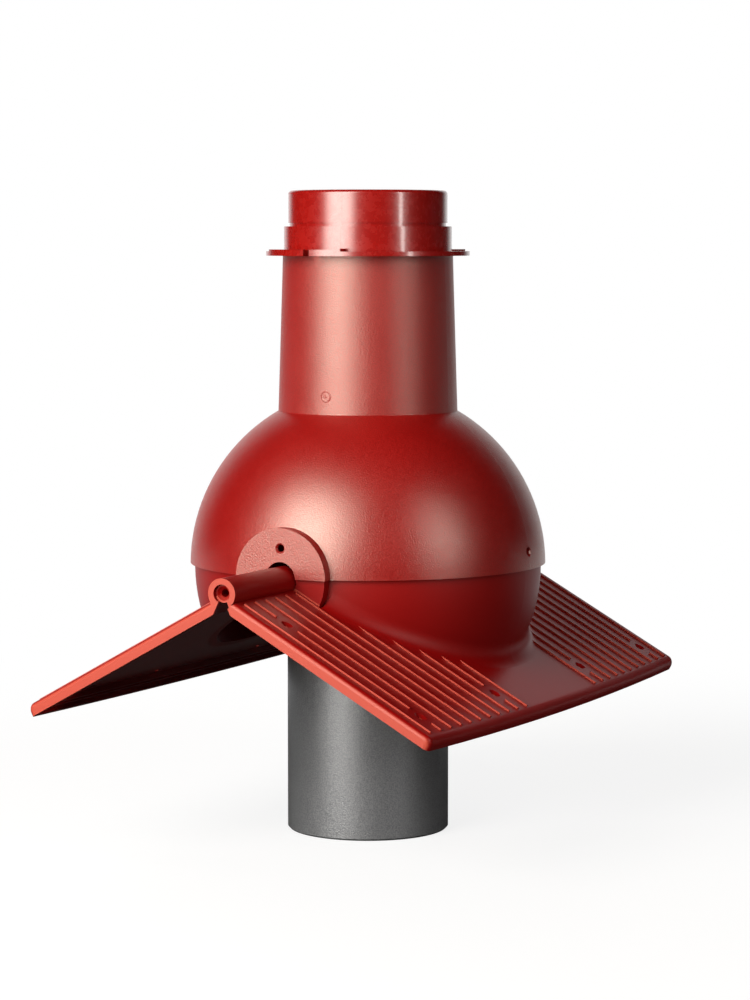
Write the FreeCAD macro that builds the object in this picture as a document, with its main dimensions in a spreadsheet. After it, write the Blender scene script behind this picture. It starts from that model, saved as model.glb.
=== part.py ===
import FreeCAD, Part
import os
import Sketcher

# Ridge roof vent pipe: a grey pipe stands in a domed cover with a tapered neck, a stepped ring
# caps the neck, and two ribbed plates hinge along the ridge line through the dome's centre.
# Frame: the pipe's axis is Z, the ridge runs along Y, and the pipe's lower end stands on z = 0.

doc = FreeCAD.newDocument("roof_vent_pipe")
sheet = doc.addObject("Spreadsheet::Sheet", "size")

dimensions = [
    # heights
    ("axis_height", 206.0, "hinge line and centre of the dome above the pipe's lower end"),
    # pipe
    ("pipe_radius", 62.5, "outside of the pipe"),
    ("pipe_wall", 3.0, "wall of the pipe"),
    ("pipe_chamfer", 1.5, "chamfer on the pipe's lower end"),
    # dome and neck
    ("dome_radius", 137.5, "outside of the dome"),
    ("shell_wall", 3.0, "wall of the dome, neck and bowls"),
    ("dome_rim_rise", 2.0, "dome's rim above the hinge line"),
    ("neck_base_radius", 69.2, "outside of the neck where it leaves the dome"),
    ("neck_top_radius", 65.5, "outside of the neck at its top"),
    ("neck_sink", 0.8175, "neck's foot below the circle where it would meet the ball"),
    ("neck_top_rise", 238.2, "top of the neck above the hinge line"),
    ("collar_height", 12.0, "straight collar inside the neck that holds the pipe"),
    ("collar_gap", 0.05, "gap between the pipe and that collar"),
    ("neck_gap", 0.5, "gap between the pipe and the neck just below the collar"),
    ("nest_gap", 0.5, "gap between the dome and the half bowls inside it"),
    ("boss_radius", 37.5, "round boss of the dome on the ridge line"),
    ("boss_wall", 2.0, "wall of the boss's round side"),
    ("boss_proud", 3.0, "flat face of that boss past the dome's ball"),
    ("notch_gap", 1.4, "gap between the hinge barrel and its notch in the boss"),
    ("screw_hole", 5.6, "diameter of the four screw holes in the dome"),
    ("screw_rim", 7.8, "diameter of the chamfer round each screw hole"),
    ("boss_hole_rise", 24.5, "screw hole in a boss above the hinge line"),
    ("side_hole_rise", 16.0, "screw hole in the dome's side above the hinge line"),
    # adapter ring
    ("flange_radius", 78.4, "flange of the adapter ring"),
    ("flange_height", 3.4, "thickness of the flange"),
    ("lug_height", 1.4, "raised lugs on the flange"),
    ("bump_height", 2.2, "small bump beside each short lug"),
    ("lug_start", -137.0, "angle about the pipe where the first long lug starts"),
    ("long_lug", 36.0, "angle of each long lug"),
    ("notch_angle", 4.0, "angle of the notch between a long and a short lug"),
    ("short_lug", 15.4, "angle of each short lug"),
    ("bump_angle", 3.6, "angle of each bump"),
    ("notch_land", 1.5, "flange left between a notch and the ring's lower step"),
    ("lower_step_radius", 64.6, "lower step of the ring"),
    ("lower_step_height", 18.9, "lower step of the ring above the flange"),
    ("groove_height", 2.6, "groove between the two steps"),
    ("groove_depth", 1.0, "depth of that groove"),
    ("upper_step_height", 24.9, "upper step of the ring above the groove"),
    ("sleeve_radius", 61.2, "outside of the upper step"),
    ("sleeve_wall", 3.0, "wall of the ring"),
    ("sleeve_edge", 2.8, "rounding of the ring's top edge"),
    ("spigot_depth", 14.0, "length of the ring's spigot inside the pipe"),
    ("spigot_gap", 0.1, "gap between the spigot and the pipe"),
    # flashing plates, in their own frame: x down the slope, y along the ridge, z off the roof
    ("roof_pitch", 28.7, "slope of both plates as drawn"),
    ("plate_half_length", 226.0, "half of the plate along the ridge"),
    ("plate_reach", 196.5, "hinge line to the middle of the lower edge"),
    ("edge_bow", 5.4, "how far the lower edge bows out from its corners"),
    ("plate_top", -1.0, "top face of the plate from the hinge line"),
    ("plate_wall", 3.0, "wall of the plate"),
    ("skirt_depth", 9.0, "depth of the plate's edge"),
    ("skirt_wall", 2.6, "thickness of the plate's edge at each end"),
    ("lip_wall", 4.4, "thickness of the plate's edge along the eaves side"),
    ("edge_rounding", 3.6, "rounding of the plate's top edge at each end"),
    ("lip_rounding", 6.2, "rounding of the plate's top edge along the eaves side"),
    ("corner_rounding", 5.0, "rounding of the plate's two lower corners"),
    ("bowl_angle", 66.0, "how far the half bowl reaches up from the plate"),
    ("bowl_fillet", 14.0, "fillet between bowl and plate"),
    ("barrel_radius", 11.1, "outside of the hinge barrel"),
    ("barrel_bore", 6.7, "inside radius of the hinge barrel"),
    ("barrel_clearance", 0.4, "gap round the barrel in the other plate"),
    ("pin_gap", 0.07, "gap between the hinge pin and the barrel's bore"),
    ("pin_bore", 2.9, "radius of the hole along the hinge pin"),
    ("pin_recess", 3.0, "pin's end behind the barrel's end"),
    ("pin_taper", 2.4, "depth and width of the hollow cone in the pin's end"),
    ("barrel_leg", -37.0, "angle where the barrel's opening ends at its own plate"),
    ("leg_angle", 31.0, "angle that the barrel's own plate takes up beside it"),
    ("barrel_lip", 252.0, "angle where the barrel's opening starts"),
    ("web_start", -38.0, "lower angle of the web that joins pin and plate"),
    ("web_angle", 14.0, "angle that the web takes up"),
    ("beam_width", 17.0, "thick strip along the hinge line, measured from that line"),
    ("beam_nose", 7.6, "nearest edge of the thick strip to the hinge line"),
    ("beam_nose_drop", 5.6, "lower corner of that edge below the hinge line"),
    ("beam_foot", 13.5, "start of the strip's lower face from the hinge line"),
    # ribs and nail marks
    ("rib_pitch", 15.2, "spacing of the ribs"),
    ("rib_count", 11, "ribs in each group"),
    ("rib_margin", 10.0, "first rib from the end of the plate"),
    ("rib_width", 2.0, "width of the ribs"),
    ("rib_height", 1.3, "height of the ribs"),
    ("rib_start", 16.0, "upper end of the ribs"),
    ("rib_end_gap", 8.5, "lower end of the ribs from the plate's bowed edge"),
    ("nail_upper", 45.3, "upper nail mark from the hinge line"),
    ("nail_lower", 166.3, "lower nail marks from the hinge line"),
    ("nail_gap", 21.0, "gap in a rib at a nail mark"),
    ("nail_rim", 9.4, "diameter of a nail mark's sunk cone"),
    ("nail_depth", 1.8, "depth of that cone"),
    ("nail_hole", 3.6, "diameter of the hole in a nail mark"),
    ("seal_count", 3, "sealing ribs along each end of the plate"),
    ("low_seal_count", 2, "sealing ribs along the lower edge"),
    ("seal_pitch", 4.2, "spacing of the sealing ribs below the plate"),
    ("seal_width", 1.2, "thickness of a sealing rib"),
    ("seal_depth", 4.6, "depth of a sealing rib"),
    # cutting tools
    ("cut_past", 1.0, "how far a cutting tool reaches past the piece"),
]

# Sizes that follow from the ones above
derived = [
    ("rim_height", "axis_height + dome_rim_rise", "dome's rim and centre of its bosses"),
    ("neck_base_rise", "sqrt(dome_radius ^ 2 - neck_base_radius ^ 2) - neck_sink",
     "crease between neck and dome above the hinge line"),
    ("boss_face", "dome_radius + boss_proud", "flat face of the dome's boss from its axis"),
    ("neck_top", "axis_height + neck_top_rise", "top of the neck and of the pipe"),
    ("flange_top", "neck_top + flange_height", "top of the ring's flange"),
    ("step_top", "flange_top + lower_step_height", "top of the ring's lower step"),
    ("groove_top", "step_top + groove_height", "top of the groove between the steps"),
    ("ring_top", "groove_top + upper_step_height", "top of the adapter ring"),
    ("spigot_radius", "pipe_radius - pipe_wall - spigot_gap", "outside of the ring's spigot"),
    ("bowl_radius", "dome_radius - shell_wall - nest_gap", "outside of the half bowl"),
    ("inner_boss_radius", "boss_radius - boss_wall - nest_gap", "boss of the half bowl"),
    ("inner_boss_face", "boss_face - shell_wall - nest_gap", "flat face of the bowl's boss"),
    ("bowl_inside", "inner_boss_face - shell_wall", "inside of that face, where the hinge starts"),
    ("hinge_length", "plate_half_length - bowl_inside", "length of the hinge barrel"),
    ("pin_radius", "barrel_bore - pin_gap", "outside of the hinge pin"),
]

rows = [(alias, str(number), meaning) for alias, number, meaning in dimensions]
rows += [(alias, f"={formula}", meaning) for alias, formula, meaning in derived]
for row, (alias, content, meaning) in enumerate(rows, start=1):
    sheet.set(f"A{row}", meaning)
    sheet.set(f"B{row}", content)
    sheet.setAlias(f"B{row}", alias)
doc.recompute()


tiny = 1e-6


def value(expression):
    return float(sheet.evalExpression(expression))


def bind(item, **expressions):
    for name, expression in expressions.items():
        path = name.replace("__", ".")
        item.setExpression(path, expression)
    return item


def move(item, x="0", y="0", z="0", rotation=None):
    item.Placement = FreeCAD.Placement(FreeCAD.Vector(), rotation or FreeCAD.Rotation())
    return bind(item, Placement__Base__x=x, Placement__Base__y=y, Placement__Base__z=z)


alongY = FreeCAD.Rotation(FreeCAD.Vector(1, 0, 0), 90)
alongX = FreeCAD.Rotation(FreeCAD.Vector(0, 1, 0), 90)


def box(name, x, y, z, length, width, height, rotation=None):
    item = doc.addObject("Part::Box", name)
    bind(item, Length=length, Width=width, Height=height)
    return move(item, x, y, z, rotation)


def cylinder(name, radius, height, x="0", y="0", z="0", rotation=None, angle="360"):
    item = doc.addObject("Part::Cylinder", name)
    bind(item, Radius=radius, Height=height, Angle=angle)
    return move(item, x, y, z, rotation)


def cone(name, lower, upper, height, z):
    item = doc.addObject("Part::Cone", name)
    bind(item, Radius1=lower, Radius2=upper, Height=height)
    return move(item, z=z)


def sphere(name, radius, x="0", y="0", z="0"):
    item = doc.addObject("Part::Sphere", name)
    bind(item, Radius=radius)
    return move(item, x, y, z)


def fuse(name, pieces):
    item = doc.addObject("Part::MultiFuse", name)
    item.Shapes = pieces
    return item


def common(name, pieces):
    item = doc.addObject("Part::MultiCommon", name)
    item.Shapes = pieces
    return item


def cut(name, base, tools):
    item = doc.addObject("Part::Cut", name)
    item.Base = base
    item.Tool = tools[0] if len(tools) == 1 else fuse(name + "_tools", tools)
    return item


# Sketches hold closed outlines whose corners are all bound to the sheet
def originPlane(body, role):
    return next(part for part in body.Origin.OriginFeatures if part.Role == role)


def sketchOn(body, role, name):
    sketch = body.newObject("Sketcher::SketchObject", name)
    sketch.AttachmentSupport = [(originPlane(body, role), "")]
    sketch.MapMode = "FlatFace"
    return sketch


def drawOutline(sketch, corners):
    points = [FreeCAD.Vector(value(x), value(y), 0) for x, y in corners]
    count = len(points)
    for index in range(count):
        sketch.addGeometry(Part.LineSegment(points[index], points[(index + 1) % count]))
    for index in range(count):
        sketch.addConstraint(Sketcher.Constraint("Coincident", index, 2, (index + 1) % count, 1))
    for index, (x, y) in enumerate(corners):
        for kind, expression, number in (("DistanceX", x, points[index].x),
                                         ("DistanceY", y, points[index].y)):
            place = sketch.addConstraint(Sketcher.Constraint(kind, -1, 1, index, 1, number))
            sketch.setExpression(f"Constraints[{place}]", expression)


def drawCircle(sketch, radius):
    circle = Part.Circle(FreeCAD.Vector(), FreeCAD.Vector(0, 0, 1), value(radius))
    place = sketch.addGeometry(circle)
    sketch.addConstraint(Sketcher.Constraint("Coincident", place, 3, -1, 1))
    constraint = sketch.addConstraint(Sketcher.Constraint("Radius", place, value(radius)))
    sketch.setExpression(f"Constraints[{constraint}]", radius)


# Grey pipe: a plain tube with a chamfered lower end
def makePipe():
    body = doc.addObject("PartDesign::Body", "vent_pipe")
    ring = sketchOn(body, "XY_Plane", "pipe_section")
    drawCircle(ring, "size.pipe_radius")
    drawCircle(ring, "size.pipe_radius - size.pipe_wall")
    tube = body.newObject("PartDesign::Pad", "pipe_tube")
    tube.Profile = ring
    bind(tube, Length="size.neck_top")
    doc.recompute()
    lowerEdge = next(
        f"Edge{number}" for number, edge in enumerate(tube.Shape.Edges, start=1)
        if edge.BoundBox.ZMax < tiny and edge.BoundBox.XMax > value("size.pipe_radius") - tiny)
    chamfer = body.newObject("PartDesign::Chamfer", "pipe_end")
    chamfer.Base = (tube, [lowerEdge])
    bind(chamfer, Size="size.pipe_chamfer")
    body.Tip = chamfer
    return body


# Adapter ring: flange, two steps with a groove between them, and a spigot inside the pipe
def makeRing():
    body = doc.addObject("PartDesign::Body", "ring_body")
    bore = "size.spigot_radius - size.sleeve_wall"
    profile = sketchOn(body, "XZ_Plane", "ring_profile")
    drawOutline(profile, [
        (bore, "size.neck_top - size.spigot_depth"),
        ("size.spigot_radius", "size.neck_top - size.spigot_depth"),
        ("size.spigot_radius", "size.neck_top"),
        ("size.flange_radius", "size.neck_top"),
        ("size.flange_radius", "size.flange_top"),
        ("size.lower_step_radius", "size.flange_top"),
        ("size.lower_step_radius", "size.step_top"),
        ("size.sleeve_radius - size.groove_depth", "size.step_top"),
        ("size.sleeve_radius - size.groove_depth", "size.groove_top"),
        ("size.sleeve_radius", "size.groove_top"),
        ("size.sleeve_radius", "size.ring_top"),
        ("size.sleeve_radius - size.sleeve_wall", "size.ring_top"),
        ("size.sleeve_radius - size.sleeve_wall", "size.flange_top"),
        (bore, "size.flange_top"),
    ])
    ring = body.newObject("PartDesign::Revolution", "ring_turned")
    ring.Profile = profile
    ring.ReferenceAxis = (profile, ["V_Axis"])
    ring.Angle = 360
    doc.recompute()
    topEdge = next(
        f"Edge{number}" for number, edge in enumerate(ring.Shape.Edges, start=1)
        if edge.BoundBox.ZMin > value("size.ring_top") - tiny
        and edge.BoundBox.XMax > value("size.sleeve_radius") - tiny)
    rounding = body.newObject("PartDesign::Fillet", "ring_top_edge")
    rounding.Base = (ring, [topEdge])
    bind(rounding, Radius="size.sleeve_edge")
    body.Tip = rounding
    return body


# Wedge of the flange between two angles about the pipe
def flangeWedge(name, start, angle, room, bottom, height):
    wedge = cylinder(name + "_wedge", "size.flange_radius * 2", height, z=bottom,
                     rotation=FreeCAD.Rotation(FreeCAD.Vector(0, 0, 1), start), angle=angle)
    core = cylinder(name + "_core", room, height, z=bottom)
    return cut(name, wedge, [core])


# The flange carries raised lugs with a notch and a bump, the same on opposite sides
def finishRing(ring):
    raised = []
    notches = []
    for side, turn in (("front", 0), ("back", 180)):
        angle = turn + value("size.lug_start")
        for name, span, height in (("long_lug", "size.long_lug", "size.lug_height"),
                                   ("notch", "size.notch_angle", None),
                                   ("short_lug", "size.short_lug", "size.lug_height"),
                                   ("bump", "size.bump_angle", "size.bump_height")):
            label = f"{side}_{name}"
            if height:
                raised.append(flangeWedge(label, angle, span, "size.sleeve_radius",
                                          "size.neck_top", f"size.flange_height + {height}"))
            else:
                notches.append(flangeWedge(label, angle, span,
                                           "size.lower_step_radius + size.notch_land",
                                           "size.neck_top - size.flange_height",
                                           "size.flange_height * 3"))
            angle += value(span)
    rim = cylinder("flange_outline", "size.flange_radius", "size.flange_height * 3",
                   z="size.neck_top")
    lugs = common("flange_lugs", [fuse("flange_raised", raised), rim])
    return cut("adapter_ring", fuse("ring_with_lugs", [ring, lugs]), notches)


# Domed cover with its neck: one moulding with a round boss at each end of the ridge line
def makeDome():
    wall = "size.shell_wall"
    centre = "size.axis_height"
    bossLength = "size.boss_face * 2"
    neckHeight = "size.neck_top_rise - size.neck_base_rise"
    outer = fuse("dome_outer", [
        sphere("dome_ball", "size.dome_radius", z=centre),
        cone("neck_outer", "size.neck_base_radius", "size.neck_top_radius", neckHeight,
             f"{centre} + size.neck_base_rise"),
        cylinder("boss_outer", "size.boss_radius", bossLength, y="size.boss_face",
                 z="size.rim_height", rotation=alongY),
    ])
    collarRise = "size.neck_top_rise - size.collar_height"
    inside = f"size.boss_face - {wall}"
    inner = fuse("dome_inner", [
        sphere("dome_hollow", f"size.dome_radius - {wall}", z=centre),
        cone("neck_inner", f"size.neck_base_radius - {wall}", "size.pipe_radius + size.neck_gap",
             f"{collarRise} - size.neck_base_rise + {wall}",
             f"{centre} + size.neck_base_rise - {wall}"),
        cylinder("neck_collar", "size.pipe_radius + size.collar_gap", "size.neck_top_rise",
                 z=f"{centre} + size.neck_base_rise"),
        cylinder("boss_inner", "size.boss_radius - size.boss_wall", f"({inside}) * 2", y=inside,
                 z="size.rim_height", rotation=alongY),
        box("below_rim", "-size.dome_radius * 2", "-size.dome_radius * 2",
            "size.rim_height - size.dome_radius * 2",
            "size.dome_radius * 4", "size.dome_radius * 4", "size.dome_radius * 2"),
        cylinder("barrel_notch", "size.barrel_radius + size.notch_gap", "size.boss_face * 4",
                 y="size.boss_face * 2", z="size.rim_height", rotation=alongY),
    ] + screwHoles())
    return cut("dome_cover", outer, [inner])


# Four screw holes with a small chamfer on the outside
def screwHoles():
    tools = []
    chamfer = "(size.screw_rim - size.screw_hole) / 2"
    bossRise = "size.axis_height + size.boss_hole_rise"
    sideRise = "size.axis_height + size.side_hole_rise"
    sideFace = "sqrt(size.dome_radius ^ 2 - size.side_hole_rise ^ 2)"
    for name, turn, face, rise in (("back", 90, "size.boss_face", bossRise),
                                   ("front", -90, "size.boss_face", bossRise),
                                   ("right", 0, sideFace, sideRise),
                                   ("left", 180, sideFace, sideRise)):
        facing = FreeCAD.Rotation(FreeCAD.Vector(0, 0, 1), turn)
        outward = facing.multVec(FreeCAD.Vector(1, 0, 0))
        rotation = facing.multiply(alongX)
        inner = f"({face} - size.shell_wall * 2)"
        tools.append(cylinder(name + "_screw_hole", "size.screw_hole / 2",
                              "size.shell_wall * 3", f"{inner} * {round(outward.x)}",
                              f"{inner} * {round(outward.y)}", rise, rotation))
        rim = doc.addObject("Part::Cone", name + "_screw_rim")
        bind(rim, Radius1="size.screw_hole / 2", Radius2=f"size.screw_hole / 2 + {chamfer} * 2",
             Height=f"{chamfer} * 2")
        base = f"({face} - {chamfer})"
        tools.append(move(rim, f"{base} * {round(outward.x)}", f"{base} * {round(outward.y)}",
                          rise, rotation))
    return tools


# One flashing plate in its own frame; both plates are the same moulding, turned half round
def plateBlank(tag):
    bow = "((size.plate_half_length ^ 2 + size.edge_bow ^ 2) / (2 * size.edge_bow))"
    slab = box(tag + "_slab", "size.beam_nose", "-size.plate_half_length",
               "size.plate_top - size.skirt_depth", "size.plate_reach - size.beam_nose",
               "size.plate_half_length * 2", "size.skirt_depth")
    arc = cylinder(tag + "_edge", bow, "size.skirt_depth * 3", x=f"size.plate_reach - {bow}",
                   z="size.plate_top - size.skirt_depth * 2")
    blank = common(tag + "_blank", [slab, arc])
    doc.recompute()
    rounded = doc.addObject("Part::Fillet", tag + "_rounded")
    rounded.Base = blank
    rounded.Edges = roundedEdges(blank.Shape)
    inset = "(size.plate_half_length - size.skirt_wall)"
    hollow = common(tag + "_hollow", [
        box(tag + "_room", "size.beam_width", f"-{inset}",
            "size.plate_top - size.skirt_depth * 2", "size.plate_reach", f"{inset} * 2",
            "size.skirt_depth * 2 - size.plate_wall"),
        cylinder(tag + "_room_edge", f"{bow} - size.lip_wall", "size.skirt_depth * 3",
                 x=f"size.plate_reach - {bow}", z="size.plate_top - size.skirt_depth * 2"),
    ])
    return cut(tag + "_tray", rounded, [hollow, hingeRelief(tag)])


# Both lower corners, the eaves edge and both end edges are rounded
def roundedEdges(shape):
    corner = value("size.plate_reach - size.edge_bow * 2")
    edges = []
    for number, edge in enumerate(shape.Edges, start=1):
        extent = edge.BoundBox
        upright = extent.ZLength > value("size.skirt_depth") - tiny and extent.XMin > corner
        onTop = extent.ZMin > value("size.plate_top") - tiny
        atEnd = extent.YLength < tiny
        if upright:
            radius = value("size.corner_rounding")
        elif onTop and atEnd:
            radius = value("size.edge_rounding")
        elif onTop and extent.XMin > corner:
            radius = value("size.lip_rounding")
        else:
            continue
        edges.append((number, radius, radius))
    return edges


def ribPositions():
    first = value("size.plate_half_length - size.rib_margin")
    count = int(value("size.rib_count"))
    return [first - index * value("size.rib_pitch") for index in range(count)]


# Each rib is a row of one to three lengths, broken where nail marks lie
def ribSpans(index, y):
    start = value("size.rib_start")
    bow = value("size.edge_bow") * (y / value("size.plate_half_length")) ** 2
    end = value("size.plate_reach - size.rib_end_gap") - bow
    gap = value("size.nail_gap / 2")
    last = int(value("size.rib_count")) - 1
    marks = []
    if index == 1:
        marks = [value("size.nail_upper"), value("size.nail_lower")]
    elif index == last - 1:
        marks = [value("size.nail_lower")]
    spans = []
    for mark in marks:
        spans.append((start, mark - gap))
        start = mark + gap
    if start < end:
        spans.append((start, end))
    return spans, marks


# A rib has upright sides and round ends, and is rooted in the plate's wall
def makeRib(name, y, start, end):
    width = "size.rib_width"
    foot = "size.plate_top - size.plate_wall / 2"
    height = "size.plate_wall / 2 + size.rib_height"
    bar = box(name, str(start), f"{y} - {width} / 2", foot, str(end - start), width, height)
    tips = [cylinder(f"{name}_{tip}", f"{width} / 2", height, x=str(x), y=str(y), z=foot)
            for tip, x in (("top", start), ("end", end))]
    return [bar] + tips


def plateRibs(tag):
    ribs = []
    marks = []
    for index, y in enumerate(ribPositions()):
        spans, places = ribSpans(index, y)
        for side, place in (("a", y), ("b", -y)):
            for number, (start, end) in enumerate(spans):
                ribs += makeRib(f"{tag}_rib_{side}{index}_{number}", place, start, end)
            for number, x in enumerate(places):
                marks += nailMark(f"{tag}_nail_{side}{index}_{number}", x, place)
    return ribs, marks


# A nail mark is a sunk cone with a small hole
def nailMark(name, x, y):
    sink = doc.addObject("Part::Cone", name + "_sink")
    slope = "(size.nail_rim - size.nail_hole) / 2"
    bind(sink, Radius1="size.nail_hole / 2", Radius2=f"size.nail_hole / 2 + {slope} * 2",
         Height="size.nail_depth * 2")
    move(sink, str(x), str(y), "size.plate_top - size.nail_depth")
    hole = cylinder(name + "_hole", "size.nail_hole / 2", "size.skirt_depth * 2", x=str(x),
                    y=str(y), z="size.plate_top - size.skirt_depth")
    return [sink, hole]


# Thin sealing ribs run below the plate along each end and along the lower edge
def sealingRibs(tag):
    ribs = []
    top = "size.plate_top - size.plate_wall"
    length = "size.plate_reach - size.edge_bow - size.beam_width"
    for number in range(1, int(value("size.seal_count")) + 1):
        for side, sign in (("a", 1), ("b", -1)):
            middle = (f"{sign} * (size.plate_half_length - size.skirt_wall"
                      f" - {number} * size.seal_pitch)")
            ribs.append(box(f"{tag}_seal_{side}{number}",
                            "size.beam_width - size.seal_width / 2",
                            f"{middle} - size.seal_width / 2", f"{top} - size.seal_depth",
                            f"{length} - size.lip_wall + size.seal_width",
                            "size.seal_width", "size.seal_depth + size.plate_wall / 2"))
    span = "(size.plate_half_length - size.skirt_wall - size.seal_pitch * size.seal_count)"
    for number in range(1, int(value("size.low_seal_count")) + 1):
        start = ("size.plate_reach - size.edge_bow - size.lip_wall"
                 f" - size.seal_pitch * {2 * number}")
        ribs.append(box(f"{tag}_seal_low{number}", start, f"-{span}",
                        f"{top} - size.seal_depth", "size.seal_width", f"{span} * 2",
                        "size.seal_depth + size.plate_wall / 2"))
    return ribs


# Half bowl: a wedge of a sphere about the hinge line, filleted into the plate
def halfBowl(tag):
    fillet = "size.bowl_fillet"
    rise = f"({fillet} + size.plate_top)"
    ringRadius = f"sqrt((size.bowl_radius + {fillet}) ^ 2 - {rise} ^ 2)"
    disc = cylinder(tag + "_fillet_disc", ringRadius,
                    f"{rise} * size.bowl_radius / (size.bowl_radius + {fillet})"
                    " + size.plate_wall - size.plate_top",
                    z="size.plate_top - size.plate_wall")
    groove = doc.addObject("Part::Torus", tag + "_fillet_groove")
    bind(groove, Radius1=ringRadius, Radius2=fillet)
    move(groove, z=rise)
    nearBoss = cylinder(tag + "_boss_clearance", "size.boss_radius", "size.boss_face * 4",
                        y="size.boss_face * 2", rotation=alongY)
    skirt = cut(tag + "_bowl_fillet", disc, [groove, nearBoss])
    outer = fuse(tag + "_bowl_outer", [
        sphere(tag + "_bowl_ball", "size.bowl_radius"),
        cylinder(tag + "_boss", "size.inner_boss_radius", "size.inner_boss_face * 2",
                 y="size.inner_boss_face", rotation=alongY),
        skirt,
    ])
    kept = common(tag + "_bowl_wedge", [
        outer,
        box(tag + "_above_plate", "0", "-size.bowl_radius * 2", "size.plate_top - size.plate_wall",
            "size.bowl_radius * 2", "size.bowl_radius * 4", "size.bowl_radius * 2"),
    ])
    tilt = FreeCAD.Rotation(FreeCAD.Vector(0, 1, 0), -value("size.bowl_angle"))
    reach = value("size.bowl_radius * 2")
    corner = tilt.multVec(FreeCAD.Vector(-reach, -reach, 0))
    top = box(tag + "_bowl_top", str(corner.x), str(corner.y), str(corner.z),
              "size.bowl_radius * 4", "size.bowl_radius * 4", "size.bowl_radius * 2", tilt)
    return cut(tag + "_bowl", kept, [top])


def bowlHollow(tag):
    wall = "size.shell_wall"
    return [
        sphere(tag + "_hollow_ball", f"size.bowl_radius - {wall}"),
        cylinder(tag + "_hollow_boss", f"size.inner_boss_radius - {wall}",
                 f"(size.inner_boss_face - {wall}) * 2", y=f"size.inner_boss_face - {wall}",
                 rotation=alongY),
    ]


def turnedAbout(start):
    return alongY.multiply(FreeCAD.Rotation(FreeCAD.Vector(0, 0, 1), start))


# The thick strip along the hinge line is cut back below so that both plates can fold down
def hingeRelief(tag):
    body = doc.addObject("PartDesign::Body", tag + "_relief")
    profile = sketchOn(body, "XZ_Plane", tag + "_relief_profile")
    below = "size.plate_top - size.skirt_depth * 2"
    drawOutline(profile, [
        ("size.beam_nose", "-size.beam_nose_drop"),
        ("size.beam_foot", "size.plate_top - size.skirt_depth"),
        ("size.beam_foot", below),
        ("0", below),
        ("0", "-size.beam_nose_drop"),
    ])
    wedge = body.newObject("PartDesign::Pad", tag + "_relief_wedge")
    wedge.Profile = profile
    wedge.Midplane = True
    bind(wedge, Length="size.plate_half_length * 4")
    return body


# Barrel at one end of the plate (y > 0) and pin with its web at the other (y < 0)
def hingeBarrel(tag):
    length = "size.hinge_length"
    ring = cylinder(tag + "_barrel_tube", "size.barrel_radius", length,
                    y="size.plate_half_length", rotation=alongY)
    past = f"{length} + size.cut_past * 2"
    end = "size.plate_half_length + size.cut_past"
    bore = cylinder(tag + "_barrel_bore", "size.barrel_bore", past, y=end, rotation=alongY)
    opening = cylinder(tag + "_barrel_opening", "size.barrel_radius + size.cut_past", past, y=end,
                       rotation=turnedAbout(value("size.barrel_lip")),
                       angle="360 + size.barrel_leg - size.barrel_lip")
    return cut(tag + "_barrel", ring, [bore, opening])


def hingePin(tag):
    length = "size.hinge_length - size.pin_recess"
    start = "-size.bowl_inside"
    reach = "size.barrel_radius + size.barrel_clearance * 2"
    web = cylinder(tag + "_web", reach, length, y=start,
                   rotation=turnedAbout(value("size.web_start")), angle="size.web_angle")
    pin = cylinder(tag + "_pin_bar", "size.pin_radius", length, y=start, rotation=alongY)
    hollow = doc.addObject("Part::Cone", tag + "_pin_hollow")
    bind(hollow, Radius1="size.pin_bore + size.pin_taper", Radius2="size.pin_bore",
         Height="size.pin_taper")
    move(hollow, y="size.pin_recess - size.plate_half_length", rotation=alongY.inverted())
    bore = cylinder(tag + "_pin_bore", "size.pin_bore", f"{length} + size.cut_past * 2",
                    y=f"{start} + size.cut_past", rotation=alongY)
    return cut(tag + "_pin", fuse(tag + "_pin_and_web", [pin, web]), [bore, hollow])


def makePlate(label):
    tag = label.split("_")[0]
    ribs, marks = plateRibs(tag)
    sheetBody = fuse(tag + "_sheet", [plateBlank(tag), halfBowl(tag)] + ribs
                     + sealingRibs(tag))
    length = "size.plate_half_length * 2 + size.cut_past * 2"
    end = "size.plate_half_length + size.cut_past"
    clearance = cylinder(tag + "_hinge_gap", "size.barrel_radius + size.barrel_clearance",
                         length, y=end, rotation=alongY)
    trimmed = cut(tag + "_trimmed", sheetBody, bowlHollow(tag) + [clearance] + marks)
    legBore = cylinder(tag + "_leg_bore", "size.barrel_bore", length, y=end, rotation=alongY)
    leg = cut(tag + "_leg", hingeLeg(tag), [legBore])
    return fuse(label, [trimmed, hingeBarrel(tag), leg, hingePin(tag)])


# Short part of the thick strip that fills the gap between the barrel and its own plate
def hingeLeg(tag):
    reach = "size.barrel_radius + size.barrel_clearance * 2"
    return cylinder(tag + "_leg_sector", reach, "size.hinge_length",
                    y="size.plate_half_length", rotation=turnedAbout(value("size.barrel_leg")),
                    angle="size.leg_angle")


def placePlate(plate, turn):
    lift = FreeCAD.Vector(0, 0, value("size.axis_height"))
    pitch = FreeCAD.Rotation(FreeCAD.Vector(0, 1, 0), value("size.roof_pitch"))
    facing = FreeCAD.Rotation(FreeCAD.Vector(0, 0, 1), turn)
    plate.Placement = FreeCAD.Placement(lift, facing.multiply(pitch))


pieces = {
    "vent_pipe": makePipe(),
    "adapter_ring": finishRing(makeRing()),
    "dome_cover": makeDome(),
    "right_flashing_plate": makePlate("right_flashing_plate"),
    "left_flashing_plate": makePlate("left_flashing_plate"),
}
placePlate(pieces["right_flashing_plate"], 0)
placePlate(pieces["left_flashing_plate"], 180)
doc.recompute()

for item in doc.Objects:
    faults = {"Invalid", "Error"} & set(item.State)
    if faults:
        raise RuntimeError(f"{item.Label} could not be built: {faults}")

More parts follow.
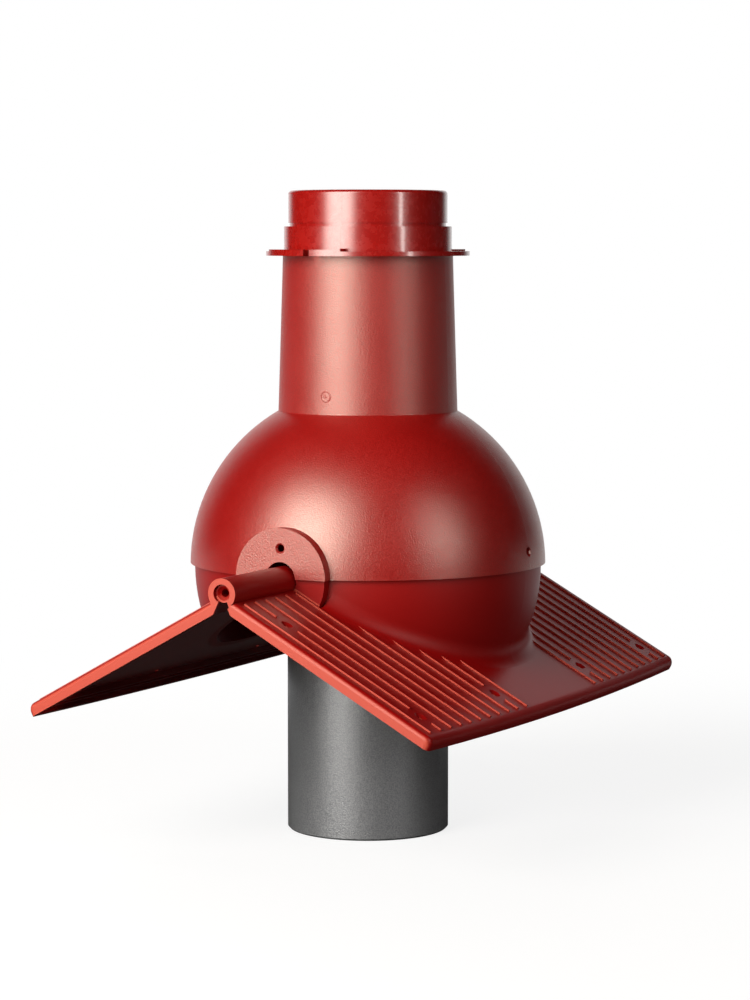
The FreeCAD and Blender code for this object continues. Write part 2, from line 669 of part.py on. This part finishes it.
os.makedirs("parts", exist_ok=True)
for name, piece in pieces.items():
    shape = piece.Shape
    if shape.isNull() or not shape.isValid() or len(shape.Solids) != 1:
        raise RuntimeError(f"{name}: not one valid solid ({len(shape.Solids)})")
    shape.exportStep(f"parts/{name}.step")
    print(f"{name}: {shape.Volume / 1000:.1f} cm3, {len(shape.Faces)} faces")
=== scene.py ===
import math

import bpy
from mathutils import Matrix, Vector

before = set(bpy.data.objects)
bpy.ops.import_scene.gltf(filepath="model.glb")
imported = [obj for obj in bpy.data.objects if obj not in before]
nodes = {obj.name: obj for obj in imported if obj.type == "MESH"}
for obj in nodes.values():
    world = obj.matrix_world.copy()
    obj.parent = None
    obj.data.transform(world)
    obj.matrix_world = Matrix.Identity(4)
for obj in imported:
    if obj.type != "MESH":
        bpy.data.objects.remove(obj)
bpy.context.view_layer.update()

axisHeight = 0.206  # hinge line above the pipe's foot, in metres
roofPitch = math.radians(28.7)  # slope at which the plates are modelled


# Small helpers for node materials: values are numbers or output sockets
def nodeTree(material):
    material.use_nodes = True
    tree = material.node_tree
    tree.nodes.clear()
    return tree


def addNode(tree, kind, **values):
    node = tree.nodes.new(kind)
    for name, value in values.items():
        setattr(node, name, value)
    return node


def feed(tree, node, name, value):
    if isinstance(value, bpy.types.NodeSocket):
        tree.links.new(value, node.inputs[name])
    else:
        node.inputs[name].default_value = value


def calculate(tree, operation, *values):
    node = addNode(tree, "ShaderNodeMath", operation=operation)
    for index, value in enumerate(values):
        feed(tree, node, index, value)
    return node.outputs[0]


# Runs smoothly from start to finish while the value runs from low to high
def ramp(tree, value, low, high, start=0.0, finish=1.0):
    node = addNode(tree, "ShaderNodeMapRange", interpolation_type="SMOOTHSTEP")
    for name, number in (("Value", value), ("From Min", low), ("From Max", high),
                         ("To Min", start), ("To Max", finish)):
        feed(tree, node, name, number)
    return node.outputs[0]


# The colour sockets of this node share their names, so they are picked by place
def blendColour(tree, factor, low, high):
    node = addNode(tree, "ShaderNodeMix", data_type="RGBA")
    tree.links.new(factor, node.inputs[0])
    for socket, colour in ((node.inputs[6], low), (node.inputs[7], high)):
        if isinstance(colour, bpy.types.NodeSocket):
            tree.links.new(colour, socket)
        else:
            socket.default_value = (*colour, 1.0)
    return node.outputs[2]


# A place in the object's own space, whole and split into its three numbers
def coordinates(tree):
    place = addNode(tree, "ShaderNodeTexCoord")
    split = addNode(tree, "ShaderNodeSeparateXYZ")
    tree.links.new(place.outputs["Object"], split.inputs[0])
    return place, split.outputs


# Distance from a point of the object's own space
def distanceFrom(tree, place, point):
    node = addNode(tree, "ShaderNodeVectorMath", operation="DISTANCE")
    tree.links.new(place.outputs["Object"], node.inputs[0])
    node.inputs[1].default_value = point
    return node.outputs["Value"]


# Shader group: fine moulded grain as a bumped normal and a mask
def makeGrainGroup():
    grain = {
        "detail": 3.0,
        "roughness": 0.62,
        "maskLow": 0.34,
        "maskHigh": 0.66,
    }
    group = bpy.data.node_groups.new("MouldedGrain", "ShaderNodeTree")
    face = group.interface
    for name, start in (("Scale", 900.0), ("Depth", 0.0005), ("Strength", 0.3)):
        socket = face.new_socket(name=name, in_out="INPUT", socket_type="NodeSocketFloat")
        socket.default_value = start
    face.new_socket(name="Normal", in_out="OUTPUT", socket_type="NodeSocketVector")
    face.new_socket(name="Mask", in_out="OUTPUT", socket_type="NodeSocketFloat")
    entry = addNode(group, "NodeGroupInput")
    leave = addNode(group, "NodeGroupOutput")
    place = addNode(group, "ShaderNodeTexCoord")
    noise = addNode(group, "ShaderNodeTexNoise")
    feed(group, noise, "Vector", place.outputs["Object"])
    feed(group, noise, "Scale", entry.outputs["Scale"])
    feed(group, noise, "Detail", grain["detail"])
    feed(group, noise, "Roughness", grain["roughness"])
    bump = addNode(group, "ShaderNodeBump")
    feed(group, bump, "Height", noise.outputs["Fac"])
    feed(group, bump, "Distance", entry.outputs["Depth"])
    feed(group, bump, "Strength", entry.outputs["Strength"])
    group.links.new(bump.outputs["Normal"], leave.inputs["Normal"])
    mask = ramp(group, noise.outputs["Fac"], grain["maskLow"], grain["maskHigh"])
    group.links.new(mask, leave.inputs["Mask"])
    return group


print("stage: grain")
grainGroup = makeGrainGroup()


# Moulded plastic: two close colours mixed by the grain and by soft large patches.
# A details function may add a piece's own marks: it gives height, colour and roughness.
def makePlastic(name, look, details=None):
    patchLow, patchHigh = 0.3, 0.7  # noise levels between which the patches blend
    material = bpy.data.materials.new(name)
    tree = nodeTree(material)
    surface = addNode(tree, "ShaderNodeBsdfPrincipled")
    leave = addNode(tree, "ShaderNodeOutputMaterial")
    grain = addNode(tree, "ShaderNodeGroup", node_tree=grainGroup)
    feed(tree, grain, "Scale", look["grainScale"])
    feed(tree, grain, "Depth", look["grainDepth"])
    feed(tree, grain, "Strength", look["grainStrength"])
    place, spot = coordinates(tree)
    patches = addNode(tree, "ShaderNodeTexNoise")
    feed(tree, patches, "Vector", place.outputs["Object"])
    feed(tree, patches, "Scale", look["patchScale"])
    cloudy = ramp(tree, patches.outputs["Fac"], patchLow, patchHigh,
                  -look["patchShare"], look["patchShare"])
    mixing = calculate(tree, "ADD", grain.outputs["Mask"], cloudy)
    colour = blendColour(tree, mixing, look["dark"], look["light"])
    rough = ramp(tree, mixing, 0.0, 1.0, look["roughness"] - look["roughSpread"],
                 look["roughness"] + look["roughSpread"])
    normal = grain.outputs["Normal"]
    if details:
        height, colour, rough = details(tree, look, place, spot, colour, rough)
        marks = addNode(tree, "ShaderNodeBump")
        feed(tree, marks, "Height", height)
        feed(tree, marks, "Distance", 1.0)  # the heights are in metres
        feed(tree, marks, "Normal", normal)
        normal = marks.outputs["Normal"]
    surface.inputs["IOR"].default_value = look["ior"]
    surface.inputs["Specular IOR Level"].default_value = look["specular"]
    surface.inputs["Specular Tint"].default_value = (*look["specularTint"], 1.0)
    surface.inputs["Coat Weight"].default_value = look["coat"]
    surface.inputs["Coat Roughness"].default_value = look["coatRoughness"]
    feed(tree, surface, "Base Color", colour)
    feed(tree, surface, "Roughness", rough)
    feed(tree, surface, "Normal", normal)
    tree.links.new(surface.outputs["BSDF"], leave.inputs["Surface"])
    return material


def dress(node, material):
    slots = nodes[node].material_slots
    for slot in slots:
        slot.material = material
    if not slots:
        nodes[node].data.materials.append(material)


domeLook = {
    "dark": (0.28, 0.0008, 0.0008),
    "light": (0.39, 0.0030, 0.0022),
    "roughness": 0.33,
    "roughSpread": 0.05,
    "ior": 1.7,
    "specular": 1.0,
    "specularTint": (1.0, 0.90, 0.78),
    "coat": 0.0,
    "coatRoughness": 0.2,
    "grainScale": 950.0,
    "grainDepth": 0.0005,
    "grainStrength": 0.42,
    "patchScale": 14.0,
    "patchShare": 0.15,
    "neckFoot": axisHeight + 0.118,
    "neckBlend": 0.002,
    "neckRough": 0.09,  # added to the roughness on the neck
    "lineWidth": 0.0004,
    "lineHeight": 0.00010,
    "gate": (0.0, -0.0688, axisHeight + 0.1327),
    "gateRadius": 0.0038,
    "gateWidth": 0.0007,
    "gateHeight": 0.00022,
    "stubRadius": 0.0005,
    "stubFoot": 0.0012,
}


# Marks on the dome: a rougher neck, the mould's parting line and the gate mark
def domeDetails(tree, look, place, spot, colour, rough):
    neck = ramp(tree, spot["Z"], look["neckFoot"], look["neckFoot"] + look["neckBlend"])
    rough = calculate(tree, "MULTIPLY_ADD", neck, look["neckRough"], rough)
    aside = calculate(tree, "ABSOLUTE", spot["Y"])
    line = ramp(tree, aside, 0.0, look["lineWidth"], look["lineHeight"], 0.0)
    onDome = calculate(tree, "SUBTRACT", 1.0, neck)
    line = calculate(tree, "MULTIPLY", line, onDome)
    away = distanceFrom(tree, place, look["gate"])
    offRing = calculate(tree, "ABSOLUTE", calculate(tree, "SUBTRACT", away, look["gateRadius"]))
    gate = ramp(tree, offRing, 0.0, look["gateWidth"], look["gateHeight"], 0.0)
    stub = ramp(tree, away, look["stubRadius"], look["stubFoot"], look["gateHeight"], 0.0)
    height = calculate(tree, "ADD", line, calculate(tree, "ADD", gate, stub))
    return height, colour, rough


print("stage: dome cover")
dress("dome_cover", makePlastic("domePlastic", domeLook, domeDetails))


ringLook = {
    "dark": (0.34, 0.0050, 0.0032),
    "light": (0.38, 0.0070, 0.0045),
    "roughness": 0.27,
    "roughSpread": 0.02,
    "ior": 1.5,
    "specular": 1.0,
    "specularTint": (1.0, 0.97, 0.93),
    "coat": 0.6,
    "coatRoughness": 0.07,
    "grainScale": 160.0,
    "grainDepth": 0.0003,
    "grainStrength": 0.05,
    "patchScale": 20.0,
    "patchShare": 0.2,
    "lineAzimuth": math.radians(8.6),
    "lineWidth": 0.0006,
    "lineHeight": 0.00004,
    "lineFade": 0.01,  # half the depth over which the line ends towards the back
}


# A faint weld line runs up the front of the adapter ring
def ringDetails(tree, look, place, spot, colour, rough):
    azimuth = look["lineAzimuth"]
    across = calculate(tree, "MULTIPLY", spot["X"], math.cos(azimuth))
    across = calculate(tree, "MULTIPLY_ADD", spot["Y"], math.sin(azimuth), across)
    line = ramp(tree, calculate(tree, "ABSOLUTE", across), 0.0, look["lineWidth"],
                look["lineHeight"], 0.0)
    frontOnly = ramp(tree, spot["Y"], -look["lineFade"], look["lineFade"], 1.0, 0.0)
    return calculate(tree, "MULTIPLY", line, frontOnly), colour, rough


print("stage: adapter ring")
dress("adapter_ring", makePlastic("ringPlastic", ringLook, ringDetails))


plateLook = {
    "dark": (0.27, 0.0014, 0.0014),
    "light": (0.31, 0.0030, 0.0024),
    "roughness": 0.36,
    "roughSpread": 0.02,
    "ior": 1.5,
    "specular": 0.34,
    "specularTint": (1.0, 0.95, 0.90),
    "coat": 0.0,
    "coatRoughness": 0.2,
    "grainScale": 1400.0,
    "grainDepth": 0.0002,
    "grainStrength": 0.06,
    "patchScale": 10.0,
    "patchShare": 0.2,
    # painted light: a paler salmon for the end faces, standing in for the light they catch
    "paintedLightColour": (0.56, 0.078, 0.048),
    "edgeRough": 0.02,
    "uprightStart": 0.6,  # how far a face has to look along the ridge
    "uprightEnd": 0.95,
    "sheetStart": 0.0006,  # above the sheet's top only the ribs stand
    "sheetEnd": 0.0010,
    "plateEnd": 0.2255,
    "plateEndBlend": 0.0005,
    "bowlRadius": 0.140,
    "bowlRough": 0.12,
    "eaves": 0.188,
    "eavesRough": 0.12,
    "roughBlend": 0.003,
}


# Paler end faces of the sheet as painted light, and a rougher bowl and eaves edge.
# Rise and down are measured from the hinge line, square to the slope and along it.
def plateDetails(tree, look, place, spot, colour, rough):
    facing = addNode(tree, "ShaderNodeSeparateXYZ")
    tree.links.new(place.outputs["Normal"], facing.inputs[0])
    upright = ramp(tree, calculate(tree, "ABSOLUTE", facing.outputs["Y"]),
                   look["uprightStart"], look["uprightEnd"])
    aside = calculate(tree, "ABSOLUTE", spot["X"])
    lift = calculate(tree, "SUBTRACT", spot["Z"], axisHeight)
    out = calculate(tree, "MULTIPLY", aside, math.sin(roofPitch))
    rise = calculate(tree, "MULTIPLY_ADD", lift, math.cos(roofPitch), out)
    low = ramp(tree, rise, look["sheetStart"], look["sheetEnd"], 1.0, 0.0)
    atEnd = ramp(tree, calculate(tree, "ABSOLUTE", spot["Y"]),
                 look["plateEnd"] - look["plateEndBlend"], look["plateEnd"])
    paintedLightEnds = calculate(tree, "MULTIPLY", upright, calculate(tree, "MAXIMUM", low, atEnd))
    # painted light: the end faces take a paler colour in place of the light they catch
    colour = blendColour(tree, paintedLightEnds, colour, look["paintedLightColour"])
    rough = calculate(tree, "MULTIPLY_ADD", paintedLightEnds, look["edgeRough"], rough)
    away = distanceFrom(tree, place, (0.0, 0.0, axisHeight))
    bowl = ramp(tree, away, look["bowlRadius"] - look["roughBlend"], look["bowlRadius"],
                1.0, 0.0)
    rough = calculate(tree, "MULTIPLY_ADD", bowl, look["bowlRough"], rough)
    along = calculate(tree, "MULTIPLY", aside, math.cos(roofPitch))
    down = calculate(tree, "MULTIPLY_ADD", lift, -math.sin(roofPitch), along)
    eaves = ramp(tree, down, look["eaves"], look["eaves"] + look["roughBlend"])
    rough = calculate(tree, "MULTIPLY_ADD", eaves, look["eavesRough"], rough)
    return 0.0, colour, rough


print("stage: flashing plates")
platePlastic = makePlastic("platePlastic", plateLook, plateDetails)
dress("right_flashing_plate", platePlastic)
dress("left_flashing_plate", platePlastic)


pipeLook = {
    "dark": (0.100, 0.104, 0.111),
    "light": (0.215, 0.221, 0.232),
    "roughness": 0.36,
    "roughSpread": 0.06,
    "ior": 1.9,
    "specular": 1.0,
    "specularTint": (0.95, 0.97, 1.0),
    "coat": 0.0,
    "coatRoughness": 0.2,
    "grainScale": 1050.0,
    "grainDepth": 0.0005,
    "grainStrength": 0.4,
    "patchScale": 12.0,
    "patchShare": 0.1,
}
print("stage: vent pipe")
dress("vent_pipe", makePlastic("pipePlastic", pipeLook))


# Azimuth 0 looks from -Y and 90 from +X
def direction(azimuth, elevation):
    turn, lift = math.radians(azimuth), math.radians(elevation)
    return Vector((math.sin(turn) * math.cos(lift), -math.cos(turn) * math.cos(lift),
                   math.sin(lift)))


# Pale floor: white to the camera far out, with the object's soft shadow near it
def makeFloor():
    look = {
        "size": 6.0,
        "near": 0.45,
        "far": 1.0,
        "paper": (0.22, 0.22, 0.22),
        "paperToObject": (0.05, 0.05, 0.05),
        "backdrop": 207.0,
        "backdropStart": 0.3,
        "backdropEnd": 0.9,
        "glow": 0.82,
    }
    bpy.ops.mesh.primitive_plane_add(size=look["size"], location=(0, 0, 0))
    floor = bpy.context.object
    floor.name = "studio_floor"
    material = bpy.data.materials.new("floorPaper")
    tree = nodeTree(material)
    leave = addNode(tree, "ShaderNodeOutputMaterial")
    path = addNode(tree, "ShaderNodeLightPath")
    place = addNode(tree, "ShaderNodeTexCoord")
    away = distanceFrom(tree, place, (0.0, 0.0, 0.0))
    farOut = ramp(tree, away, look["near"], look["far"])
    mirroredRay = calculate(tree, "MAXIMUM", path.outputs["Is Glossy Ray"],
                            path.outputs["Is Transmission Ray"])
    behind = addNode(tree, "ShaderNodeVectorMath", operation="DOT_PRODUCT")
    tree.links.new(place.outputs["Object"], behind.inputs[0])
    behind.inputs[1].default_value = direction(look["backdrop"], 0.0)
    mirrored = calculate(tree, "MULTIPLY", mirroredRay,
                         ramp(tree, behind.outputs["Value"], look["backdropStart"],
                              look["backdropEnd"]))
    white = calculate(tree, "MAXIMUM", path.outputs["Is Camera Ray"], mirrored)
    paper = addNode(tree, "ShaderNodeBsdfDiffuse")
    seenByObject = calculate(tree, "MAXIMUM", path.outputs["Is Diffuse Ray"], mirroredRay)
    tone = blendColour(tree, seenByObject, look["paper"], look["paperToObject"])
    feed(tree, paper, "Color", tone)
    glow = addNode(tree, "ShaderNodeEmission")
    feed(tree, glow, "Strength",
         calculate(tree, "MULTIPLY", path.outputs["Is Camera Ray"], look["glow"]))
    nearby = addNode(tree, "ShaderNodeAddShader")
    tree.links.new(paper.outputs[0], nearby.inputs[0])
    tree.links.new(glow.outputs[0], nearby.inputs[1])
    distant = addNode(tree, "ShaderNodeEmission")
    feed(tree, distant, "Strength", white)
    mix = addNode(tree, "ShaderNodeMixShader")
    feed(tree, mix, 0, farOut)
    tree.links.new(nearby.outputs[0], mix.inputs[1])
    tree.links.new(distant.outputs[0], mix.inputs[2])
    tree.links.new(mix.outputs[0], leave.inputs["Surface"])
    floor.data.materials.append(material)


# White to the camera; the object is lit and mirrored by a white backdrop behind it
def makeWorld():
    look = {
        "ambient": 0.006,
        "backdrop": 207.0,
        "backdropDiffuse": 0.3,
        "sideStart": 0.72,
        "sideEnd": 0.95,
        "topStart": 0.5,
        "topEnd": 0.85,
        "topLevel": 0.04,
    }
    world = bpy.data.worlds.new("studioWorld")
    bpy.context.scene.world = world
    tree = nodeTree(world)
    leave = addNode(tree, "ShaderNodeOutputWorld")
    sky = addNode(tree, "ShaderNodeBackground")
    sky.inputs["Color"].default_value = (1.0, 1.0, 1.0, 1.0)
    path = addNode(tree, "ShaderNodeLightPath")
    place = addNode(tree, "ShaderNodeTexCoord")
    facing = addNode(tree, "ShaderNodeVectorMath", operation="DOT_PRODUCT")
    tree.links.new(place.outputs["Generated"], facing.inputs[0])
    facing.inputs[1].default_value = direction(look["backdrop"], 0.0)
    split = addNode(tree, "ShaderNodeSeparateXYZ")
    tree.links.new(place.outputs["Generated"], split.inputs[0])
    behind = ramp(tree, facing.outputs["Value"], look["sideStart"], look["sideEnd"])
    lowDown = ramp(tree, split.outputs["Z"], look["topStart"], look["topEnd"], 1.0,
                   look["topLevel"])
    backdrop = calculate(tree, "MULTIPLY", behind, lowDown)
    mirrored = calculate(tree, "MAXIMUM", path.outputs["Is Glossy Ray"],
                         path.outputs["Is Transmission Ray"])
    level = calculate(tree, "MULTIPLY_ADD", mirrored, 1.0 - look["backdropDiffuse"],
                      look["backdropDiffuse"])
    strength = calculate(tree, "MULTIPLY_ADD", backdrop, level, look["ambient"])
    strength = calculate(tree, "MAXIMUM", path.outputs["Is Camera Ray"], strength)
    feed(tree, sky, "Strength", strength)
    tree.links.new(sky.outputs[0], leave.inputs["Surface"])


# The cloth of a softbox is brightest in its middle and fades towards its edges
def fadeEdges(data, fade):
    middle = 0.5  # the lamp's own coordinates run from 0 to 1
    tree = nodeTree(data)
    leave = addNode(tree, "ShaderNodeOutputLight")
    cloth = addNode(tree, "ShaderNodeEmission")
    surface = addNode(tree, "ShaderNodeNewGeometry")
    split = addNode(tree, "ShaderNodeSeparateXYZ")
    tree.links.new(surface.outputs["Parametric"], split.inputs[0])
    level = 1.0
    for axis in ("X", "Y"):
        offMiddle = calculate(tree, "SUBTRACT", split.outputs[axis], middle)
        inside = ramp(tree, calculate(tree, "ABSOLUTE", offMiddle), middle - fade, middle,
                      1.0, 0.0)
        level = calculate(tree, "MULTIPLY", inside, level)
    feed(tree, cloth, "Strength", level)
    tree.links.new(cloth.outputs[0], leave.inputs["Surface"])


def addSoftbox(name, look):
    data = bpy.data.lights.new(name, "AREA")
    data.shape = "RECTANGLE"
    data.size = look["width"]
    data.size_y = look["height"]
    data.energy = look["power"]
    data.color = look["tint"]
    lamp = bpy.data.objects.new(name, data)
    bpy.context.collection.objects.link(lamp)
    outward = direction(look["azimuth"], look["elevation"])
    lamp.location = Vector((0, 0, look["aim"])) + outward * look["distance"]
    lamp.rotation_euler = outward.to_track_quat("Z", "Y").to_euler()
    lamp.visible_glossy = look["mirrored"]
    if look["fade"]:
        fadeEdges(data, look["fade"])


print("stage: light")
makeFloor()
makeWorld()
addSoftbox("mainSoftbox", {
    "azimuth": -13.5, "elevation": 18.0, "distance": 1.9, "aim": 0.28,
    "width": 2.00, "height": 2.64, "power": 143.0, "tint": (1.0, 0.96, 0.90),
    "mirrored": True, "fade": 0.34})
addSoftbox("stripSoftbox", {
    "azimuth": 75.0, "elevation": 17.0, "distance": 1.9, "aim": 0.28,
    "width": 0.26, "height": 1.7, "power": 16.5, "tint": (1.0, 0.97, 0.94),
    "mirrored": True, "fade": 0.30})
addSoftbox("rearFill", {
    "azimuth": 215.0, "elevation": 20.0, "distance": 2.0, "aim": 0.28,
    "width": 1.2, "height": 1.4, "power": 22.0, "tint": (1.0, 1.0, 1.0),
    "mirrored": False, "fade": 0.0})


# Camera at the photograph's angle, its aim given in the photograph's pixels
def makeCamera():
    view = {
        "azimuth": 27.26,
        "pitch": 4.66,
        "distance": 2.340,
        "focalPixels": 3015.0,
        "sensorWidth": 36.0,
        "imageWidth": 750.0,
        "aimX": 368.0,
        "aimY": 563.3,
        "middleX": 375.0,
        "middleY": 482.0,
        "frameMiddleY": 500.0,
    }
    data = bpy.data.cameras.new("photoCamera")
    data.sensor_fit = "HORIZONTAL"
    data.sensor_width = view["sensorWidth"]
    data.lens = view["focalPixels"] / view["imageWidth"] * view["sensorWidth"]
    data.shift_y = (view["middleY"] - view["frameMiddleY"]) / view["imageWidth"]
    camera = bpy.data.objects.new("photoCamera", data)
    bpy.context.collection.objects.link(camera)
    back = direction(view["azimuth"], view["pitch"])
    right = direction(view["azimuth"] + 90.0, 0.0)
    up = back.cross(right)
    scale = view["distance"] / view["focalPixels"]
    place = Vector((0, 0, axisHeight)) + back * view["distance"]
    place += right * (view["middleX"] - view["aimX"]) * scale
    place += up * (view["aimY"] - view["middleY"]) * scale
    camera.location = place
    camera.rotation_euler = back.to_track_quat("Z", "Y").to_euler()
    bpy.context.scene.camera = camera


print("stage: camera")
makeCamera()
bpy.context.scene.view_settings.view_transform = "Standard"
